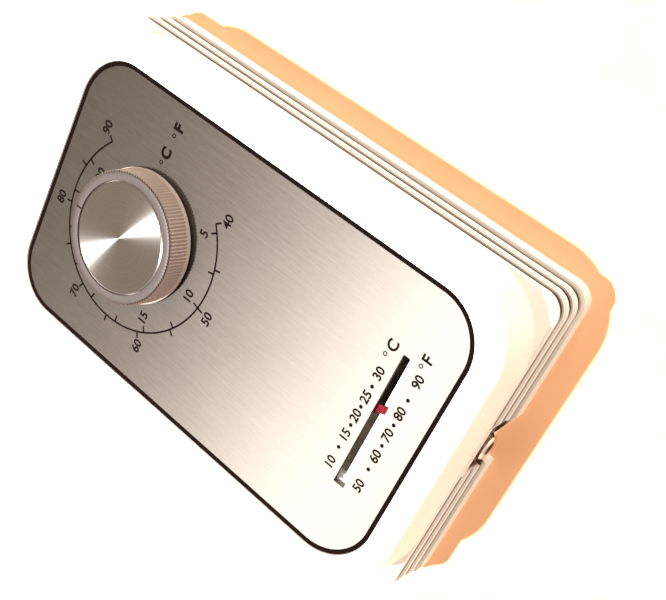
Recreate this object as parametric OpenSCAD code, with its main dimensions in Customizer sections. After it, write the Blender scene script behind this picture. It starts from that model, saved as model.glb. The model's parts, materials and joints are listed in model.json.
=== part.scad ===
// Wall thermostat: a two-part enclosure (backplate and louvred cover) with a setting knob,
// a bimetal thermometer behind a brushed plate, and a cam-set line-voltage snap switch.
// The back of the backplate lies on the wall. +X is right and +Z is up as seen from the
// front, and the front faces -Y. "Height" below always means distance out from the wall.

/* [Enclosure] */
// Half width of the cover at its front edge
cover_hx = 36.8; // [35:0.1:38]
// Half height of the cover at its front edge
cover_hz = 58.5; // [57:0.1:60]
// Height of the cover's front rim above the wall
cover_h = 27.8; // [27.3:0.1:28.3]
// Radius of the deck's corners at the front edge
deck_r = 15; // [12:0.5:16]
// Widening of the cover per millimetre towards the wall
draft = 0.06; // [0.04:0.01:0.07]
// Wall thickness of the cover
wall = 1.8; // [1.4:0.1:2.2]
// Rounding of the cover's front edge
edge_r = 0.9; // [0.5:0.1:1.2]
// Corner radius of the fins and of the backplate
fin_r = 4.5; // [3:0.5:6]

/* [Louvres] */
// Thickness of one fin
fin_t = 1.75; // [1.5:0.05:2]
// Open gap between fins
fin_gap = 2.3; // [2:0.05:2.6]
// Depth of a fin ring, from its outer edge inwards
fin_w = 5; // [4:0.5:6]
// Bevel on a fin's front outer edge
fin_bevel = 0.35; // [0.2:0.05:0.5]

/* [Backplate] */
// Half width of the backplate
base_hx = 38.5; // [38.2:0.1:39]
// Half height of the backplate
base_hz = 60.2; // [60:0.1:61]
// Thickness of the backplate's floor
floor_t = 2; // [1.6:0.1:2.2]
// Height of the backplate's rim
rim_h = 4; // [3.6:0.1:4.4]
// Distance between the two box screws
box_pitch = 83.3; // [83:0.1:84]
// Radius of a box screw hole
box_hole_r = 2.15; // [2:0.05:2.3]

/* [Faceplate] */
// Half width of the faceplate
plate_hx = 31.5; // [31:0.1:32]
// Half height of the faceplate
plate_hz = 53.2; // [52.5:0.1:53.5]
// Corner radius of the faceplate
plate_r = 11.5; // [10:0.5:12]
// Thickness of the faceplate
plate_t = 0.8; // [0.6:0.1:1]
// Distance from the cover's rim down to the faceplate
plate_sink = 0.4; // [0.3:0.05:0.5]

/* [Knob and dial] */
// Height of the dial's centre above the middle of the case
dial_z = 24.9; // [24:0.1:26]
// Radius of the knob's rim
knob_r = 14.9; // [14:0.1:15.5]
// Radius of the knob's top edge
knob_top_r = 14.36; // [14:0.02:14.6]
// Radius of the spun metal insert
insert_r = 12.05; // [11:0.05:12.4]
// Height of the knob's top above the faceplate
knob_rise = 6.5; // [6:0.1:7]
// Radius of the setting shaft
shaft_r = 3.17; // [3:0.01:3.3]
// Setting temperature at rest, degrees Fahrenheit
set_f = 82; // [40:1:90]

/* [Thermometer] */
// Half length of the window
window_hx = 15.7; // [15:0.1:17]
// Height of the window
window_dz = 2.6; // [2.4:0.1:3]
// Height of the window's centre, relative to the middle of the case
window_z = -42.2; // [-43:0.1:-41]
// Distance from the pointer's pivot to the window's centre line
pointer_throw = 12.6; // [12:0.1:13]
// Room temperature shown at rest, degrees Fahrenheit
room_f = 76; // [50:1:90]

/* [Hidden] */

// fine curves on what shows, plain ones inside
$fn = 64;
eps = 0.02;
slip = 0.06;           // radial clearance of a running fit

// heights above the wall
pitch = fin_t + fin_gap;
ledge_top = rim_h + 3 * pitch;
plate_top = cover_h - plate_sink;
plate_back = plate_top - plate_t;
front_t = 1.6;         // front wall behind the faceplate
front_back = plate_back - front_t;
ring_h = front_back - 0.9;    // knob retainer

// dial angles, clockwise from straight up, degrees
dial_start = 141;
dial_per_f = 5.2;
dial_low = -dial_per_f * (set_f - 40);
dial_high = dial_per_f * (90 - set_f);
dial_sweep = dial_high - dial_low;

// mechanism
frame_h = 15.6;        // underside of the frame's top plate
frame_t = 1.2;
frame_hx = 23;
frame_z0 = 6;
frame_z1 = 37.5;
foot_x = 31;
foot_z0 = 12;
foot_z1 = 32;
cam_h0 = 8.2;          // stop lug below, snail above
cam_h1 = 10.2;
cam_h2 = 12.2;
cam_r = 7.5;           // smallest radius of the snail
cam_rise = 0.8;
stop_r = 10.8;         // radius of the stop pin's circle
stop_pin_r = 1.2;
lug_half = 43;         // half angle of the stop lug
pivot_x = -18;
pivot_z = 8;
lever_t = 1.6;
tip_r = 1.5;
tip_gap = 0.15;
blade_t = 0.8;
blade_x = -18.4;
blade_z0 = -31.5;
blade_z1 = 1.3;
blade_h0 = 5;
blade_h1 = 13;
touch_z = -27.5;         // line of the calibration screw and the plunger
touch_h = 9;

// snap switch
sw_x0 = -8;
sw_x1 = 20;
sw_z0 = -35.5;
sw_z1 = -19.5;
sw_h0 = 4;
sw_h1 = 13;
sw_lid_t = 1.5;
leaf_x = -2.6;
sw_screws = [[-5.5, -33.1], [10, -21.9]];
term_z = [-32, -27.5, -23];

// cover guides and cover lock
guide_x = 29;
guide_z = 49;
guide_r = 2.2;
guide_h = 9;
rivet_x = 5;
rivet_z = -47.2;
lock_h = 5.5;
lock_r = 2.4;
lock_head_r = 3.1;
lock_slot_h = 7;       // height of the middle of the slot's round end
notch_left = -4;       // the access bay is wider on the right
notch_right = 8.3;
notch_flat = 1.8;      // where the bay's floor meets its right slope
notch_dz = 2.4;        // depth of the bay

// thermometer, behind the faceplate
pivot2_z = window_z + pointer_throw;
pointer_deg = 2.28;    // swing for each degree Fahrenheit
pointer_rest = pointer_deg * (room_f - 70);
carrier_hx = 22;
carrier_z0 = window_z - 8;
carrier_z1 = pivot2_z + 7;
carrier_t = 1.2;

// ---- shared shapes -------------------------------------------------------------------

// extrudes a flat (x, z) shape from height h0 to height h1
module slab(h0, h1) {
    translate([0, -h0, 0])
        rotate([90, 0, 0])
            linear_extrude(h1 - h0) children();
}

// rectangle with round corners, made of true arcs
module round_rect(hx, hz, r) {
    square([2 * hx, 2 * (hz - r)], center = true);
    square([2 * (hx - r), 2 * hz], center = true);
    for (sx = [-1, 1], sz = [-1, 1])
        translate([sx * (hx - r), sz * (hz - r)])
            circle(r);
}

// cylinder that stands out from the wall
module post(x, z, r, h0, h1) {
    slab(h0, h1)
        translate([x, z])
            circle(r);
}

// solid of revolution about an axis that stands out from the wall; points are [r, height]
module turned(x, z, points) {
    translate([x, 0, z])
        rotate([90, 0, 0])
            rotate_extrude() polygon(points);
}

// box given by its limits: x, z, and height above the wall
module block(x0, x1, z0, z1, h0, h1) {
    translate([x0, -h1, z0])
        cube([x1 - x0, h1 - h0, z1 - z0]);
}

// cylinder along X
module rod_x(x0, x1, z, h, r) {
    translate([x0, -h, z])
        rotate([0, 90, 0])
            cylinder(h = x1 - x0, r = r);
}

// slotted pan-head screw standing out from the wall
module pan_screw(x, z, h, length, r, head_r, head_t) {
    difference() {
        turned(x, z, [[0, h - length], [r, h - length], [r, h], [head_r, h],
            [head_r, h + head_t * 0.55], [head_r * 0.8, h + head_t], [0, h + head_t]]);
        block(x - head_r, x + head_r, z - head_r * 0.13, z + head_r * 0.13,
            h + head_t * 0.45, h + head_t + 1);
    }
}

// the cover's outline at a height above the wall, grown by g
module cover_outline(h, g = 0, r = deck_r) {
    spread = draft * (cover_h - h) + g;
    round_rect(cover_hx + spread, cover_hz + spread, r + spread);
}

// wedge-shaped bay at the middle of the bottom edge, open downwards and to the wall
module lock_bay(z_edge) {
    intersection() {
        slab(-1, ledge_top - fin_bevel)
            polygon([[notch_left, z_edge - 1], [notch_right, z_edge - 1],
                [notch_right, z_edge], [notch_flat, z_edge + notch_dz],
                [notch_left + 0.5, z_edge + notch_dz], [notch_left, z_edge]]);
        translate([-20, -ledge_top + fin_bevel, z_edge - 0.9])
            rotate([29, 0, 0])
                translate([0, 0, -20])
                    cube([40, 40, 20]);
    }
}

// ---- backplate and cover lock ---------------------------------------------------------

module backplate() {
    color("ivory")
    difference() {
        union() {
            slab(0, floor_t)
                round_rect(base_hx, base_hz, fin_r);
            difference() {
                slab(0, rim_h)
                    round_rect(base_hx, base_hz, fin_r);
                slab(floor_t, rim_h + 1)
                    round_rect(base_hx - 2.2, base_hz - 2.2, fin_r - 1.5);
            }
            // guide posts that locate the cover
            for (sx = [-1, 1], sz = [-1, 1])
                post(sx * guide_x, sz * guide_z, guide_r, 0, guide_h);
        }
        for (s = [-1, 1])
            post(0, s * box_pitch / 2, box_hole_r, -1, floor_t + 1);
        // wire entry
        block(-12, 12, -15, 4, -1, floor_t + 1);
        // holes for the frame, ground, switch and bracket screws
        for (sx = [-1, 1])
            post(sx * 27, 27, 1.3, -1, floor_t + 1);
        for (sx = [-1, 1])
            post(sx * rivet_x, rivet_z, 1.1, -1, floor_t + 1);
        for (p = sw_screws)
            post(p[0], p[1], 1.3, -1, floor_t + 1);
        lock_bay(-base_hz);
        rod_z(0, lock_h, lock_head_r + 0.35, -base_hz - 1, -56.5);
    }
}

module lock_bracket() {
    color("silver")
    difference() {
        union() {
            block(-7, 7, -52.2, -50.4, floor_t, 11);
            block(-7, 7, -50.6, -45.4, floor_t, floor_t + 1.4);
            rod_z(0, lock_h, 3.3, -53.4, -48.6);
        }
        rod_z(0, lock_h, lock_r + slip, -56, -45);
        for (sx = [-1, 1])
            post(sx * rivet_x, rivet_z, 1.1, 0, 6);
    }
}

module bracket_rivets() {
    color("silver")
        for (sx = [-1, 1])
            turned(sx * rivet_x, rivet_z, [[0, 0.4], [1.1 - eps, 0.4],
                [1.1 - eps, floor_t + 1.4], [1.9, floor_t + 1.4], [1.5, floor_t + 2.2],
                [0, floor_t + 2.4]]);
}

// cylinder along Z at height h above the wall
module rod_z(x, h, r, z0, z1) {
    translate([x, -h, z0])
        cylinder(h = z1 - z0, r = r);
}

module lock_screw() {
    color("gainsboro")
    difference() {
        union() {
            rod_z(0, lock_h, lock_r, -58, -46.5);
            rod_z(0, lock_h, lock_head_r, -59, -57.8);
            translate([0, -lock_h, -59.4])
                cylinder(h = 0.4, r1 = lock_head_r - 0.4, r2 = lock_head_r);
        }
        // hexagon socket, 3 mm across the flats
        translate([0, -lock_h, -59.5])
            cylinder(h = 2.4, r = 1.5 / cos(30), $fn = 6);
    }
}

// ---- frame, bushing and stops --------------------------------------------------------

module mechanism_frame() {
    color("lightsteelblue")
    difference() {
        union() {
            block(-frame_hx, frame_hx, frame_z0, frame_z1, frame_h, frame_h + frame_t);
            for (s = [-1, 1]) {
                x_leg = s > 0 ? frame_hx - frame_t : -frame_hx;
                x_foot = s > 0 ? frame_hx - frame_t : -foot_x;
                block(x_leg, x_leg + frame_t, foot_z0, foot_z1, floor_t, frame_h + eps);
                block(x_foot, x_foot + foot_x - frame_hx + frame_t, foot_z0, foot_z1,
                    floor_t, floor_t + frame_t);
            }
        }
        post(0, dial_z, 4.6, frame_h - 1, frame_h + 3);
        post(pivot_x, pivot_z, 1.5, frame_h - 1, frame_h + 3);
        post(0, dial_z + stop_r, stop_pin_r, frame_h - 1, frame_h + 3);
        for (sx = [-1, 1])
            post(sx * 27, 27, 1.5, 0, 6);
        post(27, 16, 1.5, 0, 6);
        // lightening holes beside the bushing
        for (sx = [-1, 1])
            post(sx * 15, dial_z + 4, 3, frame_h - 1, frame_h + 3);
    }
}

module frame_screws() {
    color("silver")
        for (sx = [-1, 1])
            pan_screw(sx * 27, 27, floor_t + frame_t, 3, 1.25, 2.7, 1.7);
}

module ground_screw() {
    color("seagreen")
        pan_screw(27, 16, floor_t + frame_t, 1.15, 1.45, 3, 1.8);
}

module shaft_bushing() {
    bore = shaft_r + slip;
    color("goldenrod")
        turned(0, dial_z, [[bore, 13], [4.55, 13], [4.55, frame_h + frame_t],
            [6.5, frame_h + frame_t], [6.5, 18], [5.6, 18.6], [bore, 18.6]]);
}

module bushing_nut() {
    color("silver")
    slab(13.4, frame_h)
        translate([0, dial_z])
            difference() {
                circle(6.9, $fn = 6);
                circle(4.6);
            }
}

module stop_pin() {
    color("silver")
        post(0, dial_z + stop_r, stop_pin_r, cam_h0 - 0.3, frame_h + frame_t);
}

module lever_pin() {
    color("silver")
    union() {
        post(pivot_x, pivot_z, 1.5, floor_t + 2.2, frame_h + frame_t);
        post(pivot_x, pivot_z, 2.6, floor_t + 2.2, floor_t + 3.2);
    }
}

// torsion spring round the lever's pin: close-wound coils and two straight legs
module lever_spring() {
    wire = 0.7;
    coils = 4;
    r_in = 1.9;
    h0 = 12.15;
    r_out = r_in + wire;
    outer = [for (i = [0 : coils - 1]) each [[r_out - 0.2, h0 + i * wire],
        [r_out, h0 + (i + 0.25) * wire], [r_out, h0 + (i + 0.75) * wire]]];
    color("dimgray")
    union() {
        turned(pivot_x, pivot_z, concat([[r_in, h0]], outer,
            [[r_out - 0.2, h0 + coils * wire], [r_in, h0 + coils * wire]]));
        block(pivot_x, pivot_x + 9, pivot_z + r_in + 0.1, pivot_z + r_out - 0.1,
            h0 + 0.1, h0 + 0.6);
        block(pivot_x - r_out + 0.1, pivot_x - r_in - 0.1, pivot_z, pivot_z + 8,
            h0 + coils * wire - 0.6, h0 + coils * wire - 0.1);
    }
}

// ---- setting shaft, cam and lever ----------------------------------------------------

module setting_shaft() {
    flat_x = 1.6;
    color("silver")
    difference() {
        union() {
            post(0, dial_z, shaft_r, cam_h0 - 0.6, plate_back + 1);
            post(0, dial_z, 4.2, cam_h2 + 0.2, 12.9);
        }
        // flat that drives the knob, and the groove for the ring
        translate([0, 0, dial_z])
            block(flat_x, 5, -5, 5, 20.6, plate_back + 2);
        turned(0, dial_z, [[2.5, 19], [5, 19], [5, 19.7], [2.5, 19.7]]);
    }
}

// open snap ring with its gap to one side, at angle turn
module open_ring(r_in, r_out, gap, turn, h0, h1) {
    slab(h0, h1)
        translate([0, dial_z])
            rotate(turn)
                difference() {
                    circle(r_out);
                    circle(r_in);
                    translate([0, -gap / 2])
                        square([r_out + 1, gap]);
                }
}

module shaft_ring() {
    color("dimgray")
        open_ring(2.55, 5, 3.6, 90, 19.05, 19.65);
}

// radius of the snail for a point that the lever meets at dial turn d
function snail(d) = cam_r + cam_rise * (dial_high - d) / dial_sweep;

module range_cam() {
    lug_turn = 268.4;  // lug's middle, clockwise from the stop pin
    step = dial_sweep / 60;
    color("khaki")
    difference() {
        union() {
            slab(cam_h1, cam_h2)
                translate([0, dial_z])
                    polygon([for (d = [dial_low : step : dial_high + eps])
                        [-snail(d) * cos(d), -snail(d) * sin(d)]]);
            post(0, dial_z, 6.2, cam_h0, cam_h2);
            slab(cam_h0, cam_h1)
                translate([0, dial_z])
                    rotate(-lug_turn + 90)
                        intersection() {
                            circle(12);
                            polygon([[0, 0], [20, -20 * tan(lug_half)],
                                [20, 20 * tan(lug_half)]]);
                        }
        }
        post(0, dial_z, shaft_r + 0.02, cam_h0 - 1, cam_h2 + 1);
    }
}

module adjusting_lever() {
    tip_x = -snail(0) - tip_r - tip_gap;
    color("silver")
    difference() {
        union() {
            slab(cam_h1 + 0.2, cam_h1 + 0.2 + lever_t) {
                translate([tip_x, dial_z])
                    circle(tip_r);
                translate([pivot_x, pivot_z])
                    circle(4);
                polygon([[tip_x - tip_r, dial_z], [tip_x + tip_r, dial_z],
                    [pivot_x + 4, pivot_z], [pivot_x - 4, pivot_z]]);
                polygon([[pivot_x - 4, pivot_z], [pivot_x + 4, pivot_z],
                    [blade_x + blade_t + 1.4, -6], [blade_x + blade_t, -6]]);
            }
            // bent tab that carries the blade
            block(blade_x + blade_t, blade_x + blade_t + 1.4, -6, 1.5,
                blade_h0, cam_h1 + 0.2 + lever_t);
        }
        post(pivot_x, pivot_z, 1.5 + slip, 0, 20);
        for (z = [-4, 0])
            rod_x(blade_x - 1, blade_x + 5, z, touch_h - 1, 1);
        // room for the blade beside the tab
        block(blade_x - 5, blade_x + blade_t, -8, 1.5, blade_h0 - 1, blade_h1 + 1);
    }
}

module bimetal_blade() {
    color("tan")
    difference() {
        block(blade_x, blade_x + blade_t - eps, blade_z0, blade_z1, blade_h0, blade_h1);
        for (z = [-4, 0])
            rod_x(blade_x - 1, blade_x + 5, z, touch_h - 1, 1);
        rod_x(blade_x - 1, blade_x + 5, touch_z, touch_h, 1.2);
    }
}

module blade_rivets() {
    color("silver")
        for (z = [-4, 0]) {
            rod_x(blade_x - 0.8, blade_x + 3, z, touch_h - 1, 1 - eps);
            rod_x(blade_x - 0.8, blade_x - eps, z, touch_h - 1, 1.8);
            rod_x(blade_x + blade_t + 1.4 + eps, blade_x + 3, z, touch_h - 1, 1.8);
        }
}

module calibration_screw() {
    color("goldenrod")
    difference() {
        union() {
            rod_x(blade_x - 3, blade_x + 6.6, touch_z, touch_h, 1.2 - eps);
            rod_x(blade_x - 4.6, blade_x - 2.6, touch_z, touch_h, 2.3);
            rod_x(blade_x + blade_t, blade_x + blade_t + 1.2, touch_z, touch_h, 2.2);
        }
        block(blade_x - 5, blade_x - 3.8, touch_z - 0.3, touch_z + 0.3,
            touch_h - 3, touch_h + 3);
    }
}

// ---- snap switch ---------------------------------------------------------------------

module switch_insulator() {
    color("peru")
    difference() {
        block(sw_x0 - 1, sw_x1 + 1, sw_z0 - 1, sw_z1 + 1, floor_t, sw_h0);
        for (p = sw_screws)
            post(p[0], p[1], 1.3, 0, 6);
    }
}

module switch_housing() {
    color("dimgray")
    difference() {
        block(sw_x0, sw_x1, sw_z0, sw_z1, sw_h0, sw_h1);
        block(sw_x0 + 2.5, sw_x1 - 4.5, touch_z - 3.6, touch_z + 3.6, 6, sw_h1 + 1);
        rod_x(sw_x0 - 1, sw_x0 + 3, touch_z, touch_h, 1.5 + slip);
        for (p = sw_screws)
            post(p[0], p[1], 1.3, 0, 20);
        // slots that hold the terminals
        for (z = term_z)
            block(sw_x1 - 5, sw_x1 + 1, z - 1.5, z + 1.5, 8, 9);
    }
}

module switch_lid() {
    color("dimgray")
    difference() {
        block(sw_x0, sw_x1, sw_z0, sw_z1, sw_h1, sw_h1 + sw_lid_t);
        for (p = sw_screws)
            post(p[0], p[1], 1.3, 0, 20);
    }
}

module switch_screws() {
    color("silver")
        for (p = sw_screws)
            pan_screw(p[0], p[1], sw_h1 + sw_lid_t, sw_h1 + sw_lid_t - 0.2, 1.25, 2.2, 1.4);
}

module contact_leaf() {
    color("orange")
        block(leaf_x, leaf_x + 0.3, touch_z - 3.3, touch_z + 3.3, 7, 11);
}

module fixed_contacts() {
    color("silver")
        for (s = [-1, 1]) {
            rod_x(leaf_x + 0.9, leaf_x + 1.6, touch_z + s * 2, touch_h, 1);
            block(leaf_x + 1.6, leaf_x + 2.2, touch_z + s * 2 - 1.2, touch_z + s * 2 + 1.2,
                6, 11);
        }
}

module switch_terminals() {
    color("goldenrod")
    difference() {
        for (z = term_z)
            block(sw_x1 - 4.4, sw_x1 + 7, z - 1.5, z + 1.5, 8 + eps, 9 - eps);
        for (z = term_z)
            post(sw_x1 + 4.6, z, 1.0, 0, 20);
    }
}

module terminal_screws() {
    color("goldenrod")
        for (z = term_z)
            pan_screw(sw_x1 + 4.6, z, 9, 3.5, 1 - eps, 1.9, 1.3);
}

module switch_plunger() {
    color("ivory")
    union() {
        rod_x(sw_x0 - 1.8, leaf_x, touch_z, touch_h, 1.5);
        rod_x(sw_x0 + 2.8, sw_x0 + 3.6, touch_z, touch_h, 2.2);
    }
}

// ---- cover and what it carries -------------------------------------------------------

// ring of one fin, from its front height h downwards
module fin_ring(h) {
    depth = cover_h - h + fin_t;
    hx = cover_hx + draft * depth;
    hz = cover_hz + draft * depth;
    difference() {
        union() {
            slab(h - fin_t, h - fin_bevel)
                round_rect(hx, hz, fin_r);
            slab(h - fin_bevel - eps, h)
                round_rect(hx - fin_bevel, hz - fin_bevel, fin_r - fin_bevel);
        }
        slab(h - fin_t - 1, h + 1)
            round_rect(hx - fin_w, hz - fin_w, fin_r);
    }
}

// struts that join the fins, set back from their edges
module fin_struts() {
    x_strut = cover_hx - 3.4;
    z_strut = cover_hz - 3.4;
    for (sx = [-1, 1]) {
        for (z = [-42, -24, -6, 12, 30, 48])
            block(sx * x_strut - 1.1, sx * x_strut + 1.1, z - 2, z + 1,
                floor_t + 0.1, ledge_top - 1);
        for (sz = [-1, 1])
            for (x = [15, 27])
                block(sx * x - 1.5, sx * x + 1.5, sz * z_strut - 1.1, sz * z_strut + 1.1,
                    floor_t + 0.1, ledge_top - 1);
    }
}

module cover_shell() {
    difference() {
        hull() {
            for (a = [0 : 15 : 90])
                slab(cover_h - edge_r * (1 - cos(a)) - eps, cover_h - edge_r * (1 - cos(a)))
                    cover_outline(cover_h, -edge_r * (1 - sin(a)), $fn = 96);
            slab(ledge_top - fin_t, ledge_top - fin_t + eps)
                cover_outline(ledge_top - fin_t);
        }
        hull() {
            slab(front_back - eps, front_back)
                cover_outline(cover_h, -wall);
            slab(ledge_top - fin_t - 1, ledge_top - fin_t)
                cover_outline(ledge_top, -wall);
        }
    }
}

module cover() {
    color("ivory")
    difference() {
        union() {
            cover_shell();
            difference() {
                for (i = [1 : 3])
                    fin_ring(rim_h + i * pitch);
                slab(ledge_top - fin_t - 1, ledge_top + 1)
                    cover_outline(ledge_top, -wall);
            }
            fin_struts();
            // solid block behind the lock bay
            intersection() {
                block(notch_left, notch_right, -cover_hz - 3, -cover_hz + 4,
                    rim_h + fin_gap, ledge_top - 1);
                slab(0, 30)
                    round_rect(cover_hx + 1.2, cover_hz + 1.1, fin_r);
            }
            // sleeves that slide over the backplate's guide posts
            for (sx = [-1, 1], sz = [-1, 1])
                post(sx * guide_x, sz * guide_z, guide_r + 1.5, guide_h - 3, front_back + eps);
        }
        for (sx = [-1, 1], sz = [-1, 1])
            post(sx * guide_x, sz * guide_z, guide_r + 0.1, guide_h - 4, front_back - 1);
        // seat of the faceplate
        slab(plate_back, cover_h + 1)
            round_rect(plate_hx + 0.1, plate_hz + 0.1, plate_r + 0.1);
        post(0, dial_z, 5 + slip, front_back - 1, cover_h);
        // room for the pointer behind the faceplate
        block(-carrier_hx + 4.5, carrier_hx - 4.5, window_z - 7.2, pivot2_z + 3,
            front_back - 1, cover_h);
        // the carrier's screws enter the front wall from behind
        for (sx = [-1, 1])
            post(sx * (carrier_hx - 3), carrier_z1 - 3, 0.9 + eps,
                front_back - 1, front_back + 0.8);
        lock_bay(-cover_hz - 1);
        // slot that slides off the lock screw towards the front
        translate([0, 0, -cover_hz])
            block(-lock_head_r - 0.3, lock_head_r + 0.3, -5, 6, -1, lock_slot_h);
        rod_z(0, lock_slot_h, lock_head_r + 0.3, -cover_hz - 5, -cover_hz + 6);
    }
}

module faceplate() {
    color("darkgray")
    slab(plate_back, plate_top)
        difference() {
            round_rect(plate_hx, plate_hz, plate_r);
            translate([0, dial_z])
                circle(5.6);
            translate([-window_hx, window_z - window_dz / 2])
                square([2 * window_hx, window_dz]);
        }
}

module thermometer_carrier() {
    dark = window_dz / 2;    // the window's upper half looks into a slot
    color("white")
    difference() {
        union() {
            block(-carrier_hx, carrier_hx, carrier_z0, carrier_z1,
                front_back - carrier_t, front_back);
            // light strip in the window's lower half
            block(-window_hx - 1.5, window_hx + 1.5, window_z - dark - 0.6, window_z + 0.1,
                front_back - eps, plate_back - 0.7);
            // bearing for the spindle
            post(0, pivot2_z, 2.4, front_back - 3, front_back + 0.5);
            // post that holds the coil's outer end
            post(8.5, pivot2_z, 0.9, front_back - 5.6, front_back - carrier_t + eps);
            // end blocks of the window
            for (s = [-1, 1])
                block(s * (window_hx + 0.55) - 0.95, s * (window_hx + 0.55) + 0.95,
                    window_z - dark, window_z + dark + 0.6, front_back - eps,
                    plate_back - 0.7);
        }
        // long dark slot in the window's upper half
        block(-window_hx + 1.2, window_hx - 1.2, window_z + 0.1, window_z + dark + 1,
            front_back - carrier_t - 1, plate_back);
        post(0, pivot2_z, 0.8 + slip, 0, 30);
        for (sx = [-1, 1])
            post(sx * (carrier_hx - 3), carrier_z1 - 3, 1, 0, 30);
    }
}

// screws that go in from behind
module carrier_screws() {
    head = front_back - carrier_t;
    color("silver")
        for (sx = [-1, 1])
            difference() {
                turned(sx * (carrier_hx - 3), carrier_z1 - 3, [[0, head - 1.1],
                    [1.4, head - 1.1], [1.9, head - 0.6], [1.9, head],
                    [0.9, head], [0.9, front_back + 0.6], [0, front_back + 0.6]]);
                translate([sx * (carrier_hx - 3), 0, carrier_z1 - 3])
                    block(-3, 3, -0.25, 0.25, head - 2, head - 0.55);
            }
}

module pointer_spindle() {
    color("silver")
        turned(0, pivot2_z, [[0, front_back - 6.4], [1.05, front_back - 6.4],
            [1.05, front_back - 3.1], [0.8, front_back - 3.1],
            [0.8, front_back + 1.1], [0, front_back + 1.1]]);
}

// flat spiral of bimetal strip, its outer end at the carrier's post
module thermometer_coil() {
    turns = 3.75;
    r0 = 1.15;
    r1 = 7.3;
    strip = 0.3;
    function arm(a, g) = let (r = r0 + (r1 - r0) * a / (360 * turns) + g)
        [r * cos(a + 90), r * sin(a + 90)];
    color("peru")
    slab(front_back - 5.6, front_back - 3.2)
        translate([0, pivot2_z])
            polygon(concat([for (a = [0 : 12 : 360 * turns]) arm(a, 0)],
                [for (a = [360 * turns : -12 : 0]) arm(a, strip)]));
}

module thermometer_pointer() {
    reach = 19.2;
    h0 = plate_back - 0.58;
    h1 = plate_back - 0.22;
    color("red")
    translate([0, 0, pivot2_z])
        rotate([0, -pointer_rest, 0])
            difference() {
                slab(h0, h1)
                    union() {
                        circle(2.2);
                        polygon([[-0.65, -reach], [0.65, -reach], [1.2, -1], [-1.2, -1]]);
                    }
                rotate([90, 0, 0])
                    cylinder(h = 40, r = 0.8);
            }
}

module knob() {
    socket_r = shaft_r + 0.05;
    hub_end = 20.9;
    rim = plate_top + 0.6;
    top = plate_top + knob_rise;
    seat = top - 0.7;
    color("rosybrown")
    difference() {
        union() {
            turned(0, dial_z, [[socket_r, hub_end], [5, hub_end], [5, top - 2.6],
                [12.6, top - 2.6], [13.2, rim], [knob_r, rim], [knob_r, rim + 0.6],
                [knob_r - 0.15, rim + 0.6], [knob_top_r, top - 0.5],
                [knob_top_r - 0.3, top], [insert_r + 0.15, top], [insert_r + 0.15, seat],
                [0, seat], [0, top - 4.6], [socket_r, top - 4.6]]);
            // flat of the socket
            intersection() {
                post(0, dial_z, socket_r + 0.4, hub_end, top - 4.5);
                translate([0, 0, dial_z])
                    block(1.95, 4, -4, 4, hub_end, top - 4.5);
            }
        }
        turned(0, dial_z, [[4.5, ring_h - 0.05], [6, ring_h - 0.05],
            [6, ring_h + 0.65], [4.5, ring_h + 0.65]]);
    }
}

module knob_insert() {
    top = plate_top + knob_rise;
    color("lightgray")
        turned(0, dial_z, [[0, top - 0.68], [insert_r, top - 0.68], [insert_r, top - 0.25],
            [insert_r - 0.3, top - 0.12], [0, top - 0.12]]);
}

// leaf that takes up the play between the knob's socket and the shaft's flat
module knob_spring() {
    color("dimgray")
    translate([0, 0, dial_z])
        block(1.65, 1.93, -1.9, 1.9, 21.2, 26);
}

module knob_retainer() {
    color("dimgray")
        open_ring(4.55, 7.5, 6.4, -90, ring_h, ring_h + 0.6);
}

backplate();
lock_bracket();
bracket_rivets();
lock_screw();
mechanism_frame();
frame_screws();
ground_screw();
shaft_bushing();
bushing_nut();
stop_pin();
lever_pin();
lever_spring();
switch_insulator();
switch_housing();
switch_lid();
switch_screws();
contact_leaf();
fixed_contacts();
switch_terminals();
terminal_screws();
switch_plunger();
adjusting_lever();
bimetal_blade();
blade_rivets();
calibration_screw();
setting_shaft();
shaft_ring();
range_cam();
cover();
faceplate();
thermometer_carrier();
carrier_screws();
thermometer_coil();
pointer_spindle();
thermometer_pointer();
knob();
knob_insert();
knob_spring();
knob_retainer();
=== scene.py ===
"""Looks of a wall thermostat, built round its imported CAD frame. Metres; +Z up, front faces -Y."""
import json
import math

import bpy
from mathutils import Matrix, Vector


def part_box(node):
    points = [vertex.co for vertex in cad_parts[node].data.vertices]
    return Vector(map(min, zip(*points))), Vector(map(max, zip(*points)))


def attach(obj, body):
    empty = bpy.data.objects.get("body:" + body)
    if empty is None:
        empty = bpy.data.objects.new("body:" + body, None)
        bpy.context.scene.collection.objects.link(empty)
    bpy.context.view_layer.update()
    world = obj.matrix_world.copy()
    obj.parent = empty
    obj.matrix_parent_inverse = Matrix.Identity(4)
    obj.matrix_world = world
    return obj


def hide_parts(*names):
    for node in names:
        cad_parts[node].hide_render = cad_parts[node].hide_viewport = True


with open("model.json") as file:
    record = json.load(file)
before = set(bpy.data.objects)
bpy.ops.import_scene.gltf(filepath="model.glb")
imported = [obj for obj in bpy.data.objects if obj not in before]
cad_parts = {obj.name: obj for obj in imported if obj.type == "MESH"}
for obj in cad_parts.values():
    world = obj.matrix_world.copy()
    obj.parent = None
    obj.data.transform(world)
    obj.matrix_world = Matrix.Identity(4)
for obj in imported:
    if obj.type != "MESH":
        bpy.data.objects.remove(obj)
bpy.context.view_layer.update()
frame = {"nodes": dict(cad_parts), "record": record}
nodes = frame["nodes"]
MM = 0.001

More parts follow.
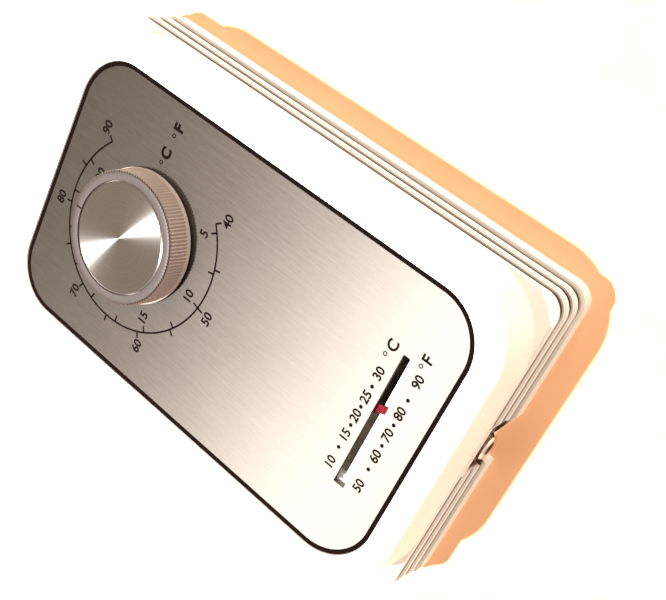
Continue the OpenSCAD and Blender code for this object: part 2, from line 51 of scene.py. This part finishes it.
# ---- places taken from the frame -----------------------------------------------------
plate_lo, plate_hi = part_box("faceplate")
knob_lo, knob_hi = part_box("knob")
insert_lo, insert_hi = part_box("knob_insert")
PLATE_Y = plate_lo.y                       # front of the faceplate
PLATE_HX = (plate_hi.x - plate_lo.x) / 2
PLATE_HZ = (plate_hi.z - plate_lo.z) / 2
DIAL_Z = (knob_lo.z + knob_hi.z) / 2
KNOB_R = (knob_hi.x - knob_lo.x) / 2
KNOB_TOP = knob_lo.y
KNOB_HUB = knob_hi.y
INSERT_R = (insert_hi.x - insert_lo.x) / 2

# ---- louvre fins, for the painted shade between them: their outline carried to the case's front; it widens backward by DRAFT
CASE_FRONT = -27.8 * MM
FIN_FRONT = -16.05 * MM                    # just behind the front fin's front face
FIN_HX, FIN_HZ, FIN_R = 36.8 * MM, 58.5 * MM, 4.5 * MM
DRAFT = 0.06
FIN_EDGE = 0.22 * MM                       # the painted gap shade starts this far below the fins' outer surface
FIN_FADE = 1600                            # how fast the painted gap shade sets in, per metre
FIN_DEPTH = 7 * MM                         # the painted gap shade goes no deeper than this
# colour of the painted shade between the louvre fins
PAINTED_GAP_SHADE = (0.080, 0.034, 0.014)

# ---- dial and thermometer scales: degrees of turn for a reading in degrees F ----------
DIAL_LOW, DIAL_HIGH, SETTING = 40, 90, 82
DIAL_START, DIAL_STEP = 141, 5.2
GAUGE_MID, GAUGE_STEP = 70, 2.28
GAUGE_ARM = 12.6 * MM


# ---- node material helpers -----------------------------------------------------------
class Mat:
    """A small wrapper that builds one Principled material."""

    def __init__(self, name):
        self.mat = bpy.data.materials.new(name)
        self.mat.use_nodes = True
        self.nt = self.mat.node_tree
        self.bsdf = self.nt.nodes["Principled BSDF"]
        self.out = self.nt.nodes["Material Output"]
        self.coord = self.nt.nodes.new("ShaderNodeTexCoord")

    def node(self, kind, **values):
        n = self.nt.nodes.new(kind)
        for key, value in values.items():
            setattr(n, key, value)
        return n

    def link(self, a, b):
        self.nt.links.new(a, b)

    def place(self, scale=(1, 1, 1), shift=(0, 0, 0)):
        m = self.node("ShaderNodeMapping")
        m.inputs["Scale"].default_value = scale
        m.inputs["Location"].default_value = shift
        self.link(self.coord.outputs["Object"], m.inputs["Vector"])
        return m.outputs["Vector"]

    def noise(self, scale, detail=3.0, rough=0.5, stretch=(1, 1, 1), shift=(0, 0, 0)):
        n = self.node("ShaderNodeTexNoise")
        n.inputs["Scale"].default_value = scale
        n.inputs["Detail"].default_value = detail
        n.inputs["Roughness"].default_value = rough
        self.link(self.place(stretch, shift), n.inputs["Vector"])
        return n.outputs["Fac"]

    def ramp(self, fac, stops):
        r = self.node("ShaderNodeValToRGB")
        while len(r.color_ramp.elements) < len(stops):
            r.color_ramp.elements.new(0.5)
        for e, (pos, col) in zip(r.color_ramp.elements, stops):
            e.position = pos
            e.color = (*col, 1)
        self.link(fac, r.inputs["Fac"])
        return r.outputs["Color"]

    def span(self, fac, lo, hi, a=0.0, b=1.0):
        m = self.node("ShaderNodeMapRange")
        for key, value in (("From Min", a), ("From Max", b), ("To Min", lo), ("To Max", hi)):
            m.inputs[key].default_value = value
        self.link(fac, m.inputs["Value"])
        return m.outputs["Result"]

    def math(self, op, a, b=None):
        m = self.node("ShaderNodeMath", operation=op)
        for i, v in enumerate((a, b)):
            if v is None:
                continue
            if isinstance(v, (int, float)):
                m.inputs[i].default_value = v
            else:
                self.link(v, m.inputs[i])
        return m.outputs[0]

    def mix(self, fac, a, b):
        m = self.node("ShaderNodeMix", data_type="RGBA")
        for socket, v in ((m.inputs[0], fac), (m.inputs[6], a), (m.inputs[7], b)):
            if isinstance(v, (int, float)):
                socket.default_value = v
            elif isinstance(v, tuple):
                socket.default_value = (*v, 1)
            else:
                self.link(v, socket)
        return m.outputs[2]

    def bump(self, height, strength, distance):
        b = self.node("ShaderNodeBump")
        b.inputs["Strength"].default_value = strength
        b.inputs["Distance"].default_value = distance
        self.link(height, b.inputs["Height"])
        self.link(b.outputs["Normal"], self.bsdf.inputs["Normal"])

    def set(self, **values):
        for key, value in values.items():
            socket = self.bsdf.inputs[key.replace("_", " ")]
            if isinstance(value, bpy.types.NodeSocket):
                self.link(value, socket)
            else:
                socket.default_value = value


def shades(color, amount):
    """Two near shades of a colour."""
    dark = tuple(c * (1 - amount) for c in color)
    light = tuple(min(1, c * (1 + amount * 0.5)) for c in color)
    return dark, light


def in_gaps(m, tone, back):
    """Dark brown between the louvre fins as far back as `back` mm, the given tone elsewhere.

    The brown is painted by position. It stands in for shade that the scene's light doesn't give.
    """
    sep = m.node("ShaderNodeSeparateXYZ")
    m.link(m.place(), sep.inputs[0])
    grow = m.math("MULTIPLY", m.math("SUBTRACT", sep.outputs[1], CASE_FRONT), DRAFT)
    over = []
    for axis, half in ((0, FIN_HX), (2, FIN_HZ)):
        side = m.math("ADD", m.math("ABSOLUTE", sep.outputs[axis]), FIN_R - half)
        over.append(m.math("SUBTRACT", side, grow))
    out = [m.math("MAXIMUM", v, 0) for v in over]
    round_part = m.math("SQRT", m.math("ADD", m.math("MULTIPLY", out[0], out[0]),
                                       m.math("MULTIPLY", out[1], out[1])))
    flat_part = m.math("MINIMUM", m.math("MAXIMUM", over[0], over[1]), 0)
    depth = m.math("SUBTRACT", FIN_R, m.math("ADD", round_part, flat_part))
    deep = m.math("MULTIPLY", m.math("SUBTRACT", depth, FIN_EDGE), FIN_FADE)
    deep = m.math("MINIMUM", m.math("MAXIMUM", deep, 0), 1)
    inside = m.math("MULTIPLY", m.math("GREATER_THAN", sep.outputs[1], FIN_FRONT),
                    m.math("LESS_THAN", sep.outputs[1], -back * MM))
    shell = m.math("LESS_THAN", depth, FIN_DEPTH)
    return m.mix(m.math("MULTIPLY", deep, m.math("MULTIPLY", inside, shell)), tone, PAINTED_GAP_SHADE)


def plastic(name, color, rough=0.42, grain=1400, depth=0.004, vary=0.05, gap_shade_back=0.0):
    """Moulded plastic: fine spark-eroded grain, a slow tone change, slightly uneven gloss, and painted
    shade between the louvre fins when a gap depth is given.
    """
    m = Mat(name)
    dark, light = shades(color, vary)
    slow = m.noise(45, 3)
    fine = m.noise(grain, 2, 0.6)
    tone = m.ramp(slow, [(0.3, dark), (0.7, light)])
    # painted shade between the louvre fins, as far back as the given gap depth
    m.set(Base_Color=in_gaps(m, tone, gap_shade_back) if gap_shade_back else tone,
          Roughness=m.span(m.noise(160, 4, 0.6), rough - 0.06, rough + 0.08),
          Specular_IOR_Level=0.5)
    m.bump(fine, 0.35, depth * MM)
    return m


def knob_paint():
    """Painted light: one dark plastic in two tones by depth, the front ring darker and the ridged side
    paler, standing in for how the light falls on each.
    """
    m = Mat("knob_plastic")
    sep = m.node("ShaderNodeSeparateXYZ")
    m.link(m.place(), sep.inputs[0])
    slow = m.noise(60, 3)
    # painted light: the front ring darker and the ridged side paler than one plastic would be
    ring = m.ramp(slow, [(0.3, (0.042, 0.029, 0.025)), (0.7, (0.048, 0.034, 0.029))])
    grip_painted_light = m.ramp(slow, [(0.3, (0.38, 0.31, 0.28)), (0.7, (0.43, 0.36, 0.325))])
    side = m.math("GREATER_THAN", sep.outputs[1], KNOB_TOP + 0.35 * MM)
    m.set(Base_Color=m.mix(side, ring, grip_painted_light), Roughness=m.span(m.noise(160, 4, 0.6), 0.4, 0.54),
          Specular_IOR_Level=0.4)
    m.bump(m.noise(1800, 2, 0.6), 0.35, 0.003 * MM)
    return m


def metal(name, color, rough=0.3, stretch=(1, 1, 1), scale=900, vary=0.12, depth=0.004):
    """Plated or rolled metal. Its grain is long where `stretch` is under 1."""
    m = Mat(name)
    dark, light = shades(color, vary)
    grain = m.noise(scale, 4, 0.6, stretch)
    m.set(Base_Color=m.ramp(grain, [(0.25, dark), (0.75, light)]), Metallic=1.0,
          Roughness=m.span(m.noise(140, 4, 0.65), rough - 0.08, rough + 0.12))
    m.bump(grain, 0.3, depth * MM)
    return m


def brushed_plate():
    """Satin aluminium, brushed along Z in short overlapping strokes."""
    m = Mat("plate_metal")
    long_grain = m.noise(1, 5, 0.62, (5200, 5200, 95))
    short_grain = m.noise(1, 3, 0.6, (3100, 3100, 420), (3.1, 0, 1.7))
    both = m.math("ADD", m.math("MULTIPLY", long_grain, 0.6), m.math("MULTIPLY", short_grain, 0.4))
    tone = m.ramp(both, [(0.36, (0.118, 0.104, 0.092)), (0.5, (0.137, 0.121, 0.108)),
                         (0.64, (0.160, 0.142, 0.126))])
    blotch = m.noise(38, 3, 0.6, (1, 1, 0.5))
    m.set(Base_Color=m.mix(0.25, tone, m.ramp(blotch, [(0.3, (0.120, 0.106, 0.094)),
                                                      (0.7, (0.144, 0.128, 0.114))])),
          Metallic=1.0, Roughness=m.span(both, 0.53, 0.57, 0.3, 0.7), Anisotropic=0.86)
    tangent = m.node("ShaderNodeTangent", direction_type="RADIAL", axis="Z")
    m.link(tangent.outputs[0], m.bsdf.inputs["Tangent"])
    m.bump(both, 0.12, 0.003 * MM)
    return m


def spun_metal():
    """Metal turned on a lathe: fine rings round the knob's axis.

    The anisotropy's rotation turns the highlight away from where true rings would put it.
    """
    m = Mat("spun_metal")
    sep = m.node("ShaderNodeSeparateXYZ")
    m.link(m.place(shift=(0, 0, -DIAL_Z)), sep.inputs[0])
    r2 = m.math("ADD", m.math("MULTIPLY", sep.outputs[0], sep.outputs[0]),
                m.math("MULTIPLY", sep.outputs[2], sep.outputs[2]))
    r = m.math("SQRT", r2)
    ring = m.node("ShaderNodeTexNoise", noise_dimensions="1D")
    ring.inputs["Scale"].default_value = 1
    ring.inputs["Detail"].default_value = 4
    m.link(m.math("MULTIPLY", r, 5200), ring.inputs["W"])
    fac = ring.outputs["Fac"]
    m.set(Base_Color=m.ramp(fac, [(0.3, (0.225, 0.212, 0.196)), (0.7, (0.28, 0.266, 0.246))]),
          Metallic=1.0, Roughness=m.span(fac, 0.22, 0.27), Anisotropic=0.97,
          Anisotropic_Rotation=0.20)
    tangent = m.node("ShaderNodeTangent", direction_type="RADIAL", axis="Y")
    m.link(tangent.outputs[0], m.bsdf.inputs["Tangent"])
    m.bump(fac, 0.06, 0.002 * MM)
    return m


def ink(name, color):
    """Screen-printed ink: slightly thin in places."""
    m = Mat(name)
    fac = m.noise(2600, 3, 0.7)
    dark, _ = shades(color, 0.35)
    m.set(Base_Color=m.ramp(fac, [(0.35, dark), (0.8, tuple(c * 2.0 for c in color))]),
          Roughness=m.span(fac, 0.6, 0.8), Specular_IOR_Level=0.0)
    m.bump(fac, 0.2, 0.004 * MM)
    return m


COVER = (0.90, 0.87, 0.82)
MATS = {
    "cover_plastic": plastic("cover_plastic", COVER, 0.40, vary=0.025, gap_shade_back=6.35),
    "base_plastic": plastic("base_plastic", (0.87, 0.84, 0.75), 0.45, vary=0.03, gap_shade_back=3.9),
    "plate_metal": brushed_plate(),
    "knob_plastic": knob_paint(),
    "spun_metal": spun_metal(),
    "carrier_plastic": plastic("carrier_plastic", (0.86, 0.85, 0.82), 0.4),
    "pointer_red": ink("pointer_red", (0.13, 0.010, 0.018)),
    "steel": metal("steel", (0.60, 0.61, 0.62), 0.32, (1, 1, 0.15)),
    "spring_steel": metal("spring_steel", (0.20, 0.20, 0.21), 0.3),
    "brass": metal("brass", (0.78, 0.58, 0.27), 0.26, (1, 0.2, 1)),
    "copper_alloy": metal("copper_alloy", (0.76, 0.42, 0.24), 0.3),
    "bimetal": metal("bimetal", (0.60, 0.50, 0.40), 0.34, (1, 1, 0.2)),
    "chrome": metal("chrome", (0.80, 0.80, 0.81), 0.16, vary=0.06, depth=0.002),
    "black_plastic": plastic("black_plastic", (0.022, 0.021, 0.022), 0.36, vary=0.3),
    "fibre": plastic("fibre", (0.30, 0.17, 0.075), 0.62, 700, 0.012, 0.25),
    "cam_plastic": plastic("cam_plastic", (0.72, 0.60, 0.36), 0.3, vary=0.06),
    "ground_green": metal("ground_green", (0.05, 0.32, 0.13), 0.34),
}
PRINT = ink("black_print", (0.006, 0.0035, 0.003))

for entry in frame["record"]["subparts"]:
    obj = nodes[entry["node"]]
    obj.data.materials.clear()
    obj.data.materials.append(MATS[entry["material_slot"]].mat)


# ---- mesh helpers ---------------------------------------------------------------------
def add_mesh(name, verts, faces, mat, body, smooth=None):
    """One piece that rides on a body. `smooth` is the angle in degrees that stays smooth."""
    me = bpy.data.meshes.new(name)
    me.from_pydata([tuple(v) for v in verts], [], faces)
    me.validate()
    me.update()
    obj = bpy.data.objects.new(name, me)
    bpy.context.scene.collection.objects.link(obj)
    me.materials.append(mat)
    if smooth is not None:
        for p in me.polygons:
            p.use_smooth = True
        me.set_sharp_from_angle(angle=math.radians(smooth))
    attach(obj, body)
    return obj


class Print:
    """Collects thin raised print on the faceplate as one mesh. Points are (x, z) in metres."""

    def __init__(self):
        self.verts, self.faces = [], []
        self.back, self.front = PLATE_Y + 0.01 * MM, PLATE_Y - 0.02 * MM

    def strip(self, outer, inner, closed):
        """A band between two lines of points."""
        n = len(outer)
        base = len(self.verts)
        for line in (outer, inner):
            for y in (self.front, self.back):
                self.verts += [(x, y, z) for x, z in line]
        # first vertex of each line: outer and inner, at the front and at the back
        of, ob, nf, nb = base, base + n, base + 2 * n, base + 3 * n
        for i in range(n if closed else n - 1):
            j = (i + 1) % n
            self.faces += [(of + i, nf + i, nf + j, of + j), (ob + i, ob + j, nb + j, nb + i),
                           (of + i, of + j, ob + j, ob + i), (nf + i, nb + i, nb + j, nf + j)]
        if not closed:
            for i in (0, n - 1):
                self.faces.append((of + i, ob + i, nb + i, nf + i))

    def bar(self, a, b, width):
        """A straight stroke from a to b."""
        a, b = Vector(a), Vector(b)
        side = (b - a).normalized()
        side = Vector((-side.y, side.x)) * width / 2
        self.strip([a + side, b + side], [a - side, b - side], False)

    def text(self, words, x, z, size, weight=0.0):
        """Words centred on (x, z); size is the font size in metres."""
        curve = bpy.data.curves.new("label", "FONT")
        curve.body = words
        curve.size = size
        curve.extrude = 0.015 * MM
        curve.offset = weight
        curve.resolution_u = 6
        curve.align_x = "CENTER"
        curve.align_y = "CENTER"
        obj = bpy.data.objects.new("label", curve)
        bpy.context.scene.collection.objects.link(obj)
        bpy.context.view_layer.update()
        graph = bpy.context.evaluated_depsgraph_get()
        me = bpy.data.meshes.new_from_object(obj.evaluated_get(graph))
        turn = Matrix.Translation((x, PLATE_Y - 0.005 * MM, z)) @ Matrix.Rotation(math.pi / 2, 4, "X")
        base = len(self.verts)
        self.verts += [tuple(turn @ v.co) for v in me.vertices]
        self.faces += [tuple(base + i for i in p.vertices) for p in me.polygons]
        bpy.data.objects.remove(obj)
        bpy.data.curves.remove(curve)
        bpy.data.meshes.remove(me)

    def ring(self, x, z, r, width, steps=24):
        """A round line of middle radius r."""
        turn = [2 * math.pi * i / steps for i in range(steps)]
        outer, inner = [[(x + edge * math.cos(a), z + edge * math.sin(a)) for a in turn]
                        for edge in (r + width / 2, r - width / 2)]
        self.strip(outer, inner, True)

    def dot(self, x, z, r, steps=20):
        """A filled spot."""
        self.ring(x, z, r / 2, r, steps)

    def unit(self, letter, sign, sign_r, place, size, weight):
        """A degree sign and its letter. Places are (x, z) in mm."""
        self.ring(sign[0] * MM, sign[1] * MM, sign_r * MM, 0.22 * MM)
        self.text(letter, place[0] * MM, place[1] * MM, size * MM, weight)


def round_rect(hx, hz, r, steps=24):
    """Points round a rectangle with round corners."""
    pts = []
    for cx, cz, start in ((hx - r, hz - r, 0), (r - hx, hz - r, 90), (r - hx, r - hz, 180),
                          (hx - r, r - hz, 270)):
        for i in range(steps + 1):
            a = math.radians(start + 90 * i / steps)
            pts.append((cx + r * math.cos(a), cz + r * math.sin(a)))
    return pts


def on_dial(angle, r):
    """Point at a clockwise angle from straight up, in degrees, and a radius in mm."""
    a = math.radians(angle)
    return (r * MM * math.sin(a), DIAL_Z + r * MM * math.cos(a))


def dial_angle(f):
    """Clockwise angle of a setting, in degrees."""
    return DIAL_START + DIAL_STEP * (f - DIAL_LOW)


def c_to_f(c):
    return 1.8 * c + 32


# ---- print on the faceplate ------------------------------------------------------------
ARC_R, ARC_W, TICK = 21.4, 0.42, 1.5       # dial scale, in mm
SWEEP_STEPS = 130
DIGITS = 3.0 * MM
LABEL = 2.75 * MM
BOLD = 0.075 * MM

ink_mesh = Print()
half_line = 0.5 * MM
border = (PLATE_HX - 0.5 * MM, PLATE_HZ - 0.55 * MM, 11.0 * MM)
ink_mesh.strip(round_rect(*[v + half_line for v in border]),
               round_rect(*[v - half_line for v in border]), True)

low, high = dial_angle(DIAL_LOW), dial_angle(DIAL_HIGH)
sweep = [low + (high - low) * i / SWEEP_STEPS for i in range(SWEEP_STEPS + 1)]
ink_mesh.strip([on_dial(a, ARC_R + ARC_W / 2) for a in sweep],
               [on_dial(a, ARC_R - ARC_W / 2) for a in sweep], False)
for f in range(DIAL_LOW, DIAL_HIGH + 1, 5):
    ink_mesh.bar(on_dial(dial_angle(f), ARC_R), on_dial(dial_angle(f), ARC_R + TICK), ARC_W * MM)
    if f % 10 == 0:
        ink_mesh.text(str(f), *on_dial(dial_angle(f), 24.7), DIGITS, BOLD)
for half in range(10, 61, 5):
    c = half / 2
    a = dial_angle(c_to_f(c))
    ink_mesh.bar(on_dial(a, ARC_R), on_dial(a, ARC_R - TICK), ARC_W * MM)
    if c % 5 == 0:
        ink_mesh.text(str(int(c)), *on_dial(a, 17.0 if c > 15 else 18.1), DIGITS, BOLD)
ink_mesh.unit("C", (17.2, 26.9), 0.40, (19.5, 26.4), 3.5, 2.2 * BOLD)
ink_mesh.unit("F", (23.8, 26.3), 0.40, (25.8, 25.7), 3.5, 2.2 * BOLD)


def gauge_x(f):
    """Place of a reading along the thermometer's window."""
    return GAUGE_ARM * math.tan(math.radians(GAUGE_STEP * (f - GAUGE_MID)))


for row_z, marks, dots in ((-38.5 * MM, [(c, c_to_f(c)) for c in (10, 15, 20, 25, 30)],
                            [c_to_f(c) for c in (12.5, 17.5, 22.5, 27.5)]),
                           (-46.05 * MM, [(f, f) for f in (50, 60, 70, 80, 90)],
                            (55, 65, 75, 85))):
    for words, f in marks:
        ink_mesh.text(str(words), gauge_x(f), row_z, LABEL, BOLD)
    for f in dots:
        ink_mesh.dot(gauge_x(f), row_z, 0.42 * MM)
ink_mesh.unit("C", (13.5, -37.6), 0.38, (15.8, -38.3), 3.3, 1.2 * BOLD)
ink_mesh.unit("F", (15.9, -44.9), 0.38, (17.7, -45.6), 3.3, 1.2 * BOLD)
add_mesh("faceplate_print", ink_mesh.verts, ink_mesh.faces, PRINT.mat, "cover")


# ---- knurled knob ---------------------------------------------------------------------
def knurled_knob():
    """Lathed profile; the side wall carries 120 fine ridges between two plain lips."""
    ridges, per = 120, 6
    n = ridges * per
    depth = 0.42 * MM
    top = KNOB_TOP
    rim = PLATE_Y - 0.6 * MM
    # radius, y, how strongly the ridges cut in
    profile = [
        (3.22 * MM, top + 4.6 * MM, 0), (3.22 * MM, KNOB_HUB, 0), (5.0 * MM, KNOB_HUB, 0),
        (5.0 * MM, top + 2.6 * MM, 0), (12.6 * MM, top + 2.6 * MM, 0), (13.2 * MM, rim + 0.05 * MM, 0),
        (13.5 * MM, rim, 0), (KNOB_R - 0.15 * MM, rim, 0), (KNOB_R, rim - 0.12 * MM, 0),
        (KNOB_R, rim - 0.42 * MM, 0), (KNOB_R - 0.12 * MM, rim - 0.58 * MM, 0),
        (14.62 * MM, rim - 0.66 * MM, 0), (14.62 * MM, rim - 0.78 * MM, 1),
        (14.46 * MM, top + 0.55 * MM, 1), (14.36 * MM, top + 0.28 * MM, 0.8),
        (14.16 * MM, top + 0.08 * MM, 0.3), (13.95 * MM, top, 0), (13.4 * MM, top, 0),
        (12.5 * MM, top, 0), (12.28 * MM, top + 0.03 * MM, 0),
        (INSERT_R + 0.13 * MM, top + 0.14 * MM, 0), (INSERT_R + 0.11 * MM, top + 0.7 * MM, 0),
        (0.0, top + 0.7 * MM, 0),
    ]
    verts, faces = [], []
    for r, y, cut in profile:
        for i in range(n):
            a = 2 * math.pi * i / n
            wave = 0.5 - 0.5 * math.cos(2 * math.pi * (i % per) / per)
            rr = r - cut * depth * wave
            verts.append((rr * math.sin(a), y, DIAL_Z + rr * math.cos(a)))
    rows = len(profile)
    for k in range(rows - 1):
        for i in range(n):
            j = (i + 1) % n
            faces.append((k * n + i, k * n + j, (k + 1) * n + j, (k + 1) * n + i))
    # flat floor of the socket
    faces.append(tuple(range(n)))
    return verts, faces


verts, faces = knurled_knob()
knob = add_mesh("knurled_knob", verts, faces, MATS["knob_plastic"].mat, "knob", 32)
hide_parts("knob")


def setting_mark():
    """A short dark line on the knob's front ring, at the setting where the knob rests."""
    a = math.radians(dial_angle(SETTING) - 360)
    inner, outer, half = 12.3 * MM, 13.7 * MM, 0.16 * MM
    corners = [(r * math.sin(a) + side * math.cos(a), DIAL_Z + r * math.cos(a) - side * math.sin(a))
               for r, side in ((inner, -half), (outer, -half), (outer, half), (inner, half))]
    verts = [(x, y, z) for y in (KNOB_TOP, KNOB_TOP + 0.1 * MM) for x, z in corners]
    faces = [(0, 1, 2, 3), (7, 6, 5, 4), (0, 4, 5, 1), (1, 5, 6, 2), (2, 6, 7, 3), (3, 7, 4, 0)]
    return verts, faces


verts, faces = setting_mark()
add_mesh("knob_mark", verts, faces, PRINT.mat, "knob")


# ---- camera ---------------------------------------------------------------------------
CAM_POS = Vector((0.0917, -0.1872, -0.0946))
CAM_AIM = Vector((0.0158, -0.0274, -0.0230))
CAM_ROLL = math.radians(52.8)
CAM_LENS = 53.54
cam_data = bpy.data.cameras.new("camera")
cam_data.lens = CAM_LENS
cam_data.clip_start = 0.01
cam_data.clip_end = 20
cam = bpy.data.objects.new("camera", cam_data)
bpy.context.scene.collection.objects.link(cam)
look = (CAM_AIM - CAM_POS).to_track_quat("-Z", "Y").to_matrix()
look = look @ Matrix.Rotation(-CAM_ROLL, 3, "Z")
cam.matrix_world = Matrix.Translation(CAM_POS) @ look.to_4x4()
bpy.context.scene.camera = cam


# ---- wall and lights --------------------------------------------------------------------
def wall():
    """A plain tan wall just behind the part, which the key light bleaches to near white.

    It casts no shadow and gives no diffuse bounce. From behind it can be seen through.
    """
    size, y = 1.6, 0.0004
    me = bpy.data.meshes.new("wall")
    me.from_pydata([(-size, y, -size), (size, y, -size), (size, y, size), (-size, y, size)],
                   [], [(0, 1, 2, 3)])
    obj = bpy.data.objects.new("wall", me)
    bpy.context.scene.collection.objects.link(obj)
    m = Mat("wall_paint")
    m.set(Base_Color=m.ramp(m.noise(60, 3), [(0.3, (0.92, 0.51, 0.29)), (0.7, (0.95, 0.55, 0.32))]),
          Roughness=0.8, Specular_IOR_Level=0.2)
    m.bump(m.noise(500, 3), 0.1, 0.02 * MM)
    geo = m.node("ShaderNodeNewGeometry")
    clear = m.node("ShaderNodeBsdfTransparent")
    blend = m.node("ShaderNodeMixShader")
    m.link(geo.outputs["Backfacing"], blend.inputs[0])
    m.link(m.bsdf.outputs[0], blend.inputs[1])
    m.link(clear.outputs[0], blend.inputs[2])
    m.link(blend.outputs[0], m.out.inputs["Surface"])
    me.materials.append(m.mat)
    obj.visible_shadow = False
    obj.visible_diffuse = False


def lamp(name, pos, aim, power, size, color):
    data = bpy.data.lights.new(name, "AREA")
    data.shape = "DISK"
    data.size = size
    data.energy = power
    data.color = color
    obj = bpy.data.objects.new(name, data)
    bpy.context.scene.collection.objects.link(obj)
    obj.location = pos
    obj.rotation_mode = "QUATERNION"
    obj.rotation_quaternion = (Vector(aim) - Vector(pos)).to_track_quat("-Z", "Y")


wall()
lamp("key", (-0.21, -1.02, 0.22), (0, 0, -0.01), 31, 0.03, (1.0, 0.99, 0.98))
lamp("side", (0.95, -0.22, 0.10), (0, 0, 0), 5.4, 0.30, (1.0, 0.95, 0.80))
lamp("low", (0.30, -0.30, -0.95), (0, 0, 0), 2.0, 0.30, (1.0, 0.66, 0.60))
lamp("back", (0.5, 0.9, 0.5), (0, 0, 0), 8, 0.8, (1.0, 0.97, 0.93))

world = bpy.data.worlds.new("world")
bpy.context.scene.world = world
world.use_nodes = True
background = world.node_tree.nodes["Background"]
background.inputs["Color"].default_value = (1.0, 0.85, 0.71, 1)
background.inputs["Strength"].default_value = 0.90

bpy.context.scene.view_settings.view_transform = "Standard"
bpy.context.scene.view_settings.look = "None"
